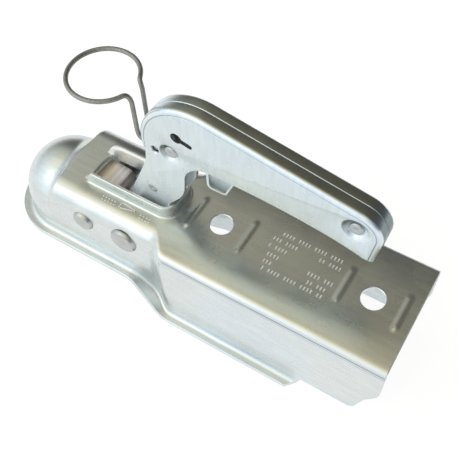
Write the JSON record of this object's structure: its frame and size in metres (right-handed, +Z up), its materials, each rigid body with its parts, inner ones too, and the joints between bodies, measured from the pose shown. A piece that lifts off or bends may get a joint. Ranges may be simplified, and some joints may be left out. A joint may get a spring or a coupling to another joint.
{
  "type": "trailer coupling head",
  "caption": "Pressed steel trailer coupling for a 50 mm tow ball: domed housing over a square drawbar, swinging jaw, lifting grip with trigger, wire plug ring.",
  "frame": {"origin": "centre of the tow ball in its socket", "axes": "+X back along the drawbar, +Y to the side, +Z up"},
  "size_m": [0.2583, 0.0808, 0.1507],
  "materials": {
    "zinc_sheet": "bright zinc plating on pressed sheet, cloudy, fine rolling marks",
    "zinc_grip": "bright zinc plating on pressed sheet, slightly mottled",
    "zinc_pin": "zinc plated rivet steel",
    "jaw_steel": "bent thick strip with fine cross lines",
    "bush_brass": "turned, dull",
    "spring_wire": "drawn spring wire",
    "ring_wire": "dull zinc plated spring wire"
  },
  "bodies": {
    "frame": {"housing": "zinc_sheet", "jaw_pin": "zinc_pin", "jaw_spacer_near": "zinc_pin", "jaw_spacer_far": "zinc_pin", "grip_pin": "zinc_pin", "grip_spacer_near": "zinc_pin", "grip_spacer_far": "zinc_pin", "grip_spring_near": "spring_wire", "grip_spring_far": "spring_wire"},
    "clamp": {"jaw": "jaw_steel"},
    "grip": {"locking_cam": "jaw_steel", "cam_bush": "bush_brass", "grip_shell_near": "zinc_grip", "grip_shell_far": "zinc_grip", "front_rivet": "zinc_pin", "rear_rivet": "zinc_pin", "neck_rivet": "zinc_pin", "rear_rivet_tube": "zinc_pin", "trigger_tube": "zinc_pin", "trigger_spring": "spring_wire"},
    "trigger": {"release_trigger": "zinc_grip"},
    "ring": {"plug_ring": "ring_wire"}
  },
  "joints": [
    {"name": "grip_lift", "type": "hinge", "parent": "frame", "child": "grip", "pos_m": [0.06082, 0, 0.01688], "axis": [0, -1, 0], "range_deg": [0, 50], "stiffness_Nm_per_rad": 1, "springref_deg": -28.65, "deforming": ["grip_spring_near", "grip_spring_far"]},
    {"name": "jaw_swing", "type": "hinge", "parent": "frame", "child": "clamp", "pos_m": [0.03202, 0, 0.01568], "axis": [0, -1, 0], "range_deg": [0, 20]},
    {"name": "trigger_squeeze", "type": "hinge", "parent": "grip", "child": "trigger", "pos_m": [0.08461, 0, 0.08348], "axis": [0, -1, 0], "range_deg": [0, 10], "stiffness_Nm_per_rad": 0.3, "springref_deg": -17.19, "deforming": ["trigger_spring"]},
    {"name": "ring_tilt", "type": "hinge", "parent": "grip", "child": "ring", "pos_m": [0.07572, 0, 0.08158], "axis": [0, -1, 0], "range_deg": [-8, 25]}
  ],
  "couplings": [
    {"joint": "jaw_swing", "follows": "grip_lift", "ratio": 0.4}
  ]
}
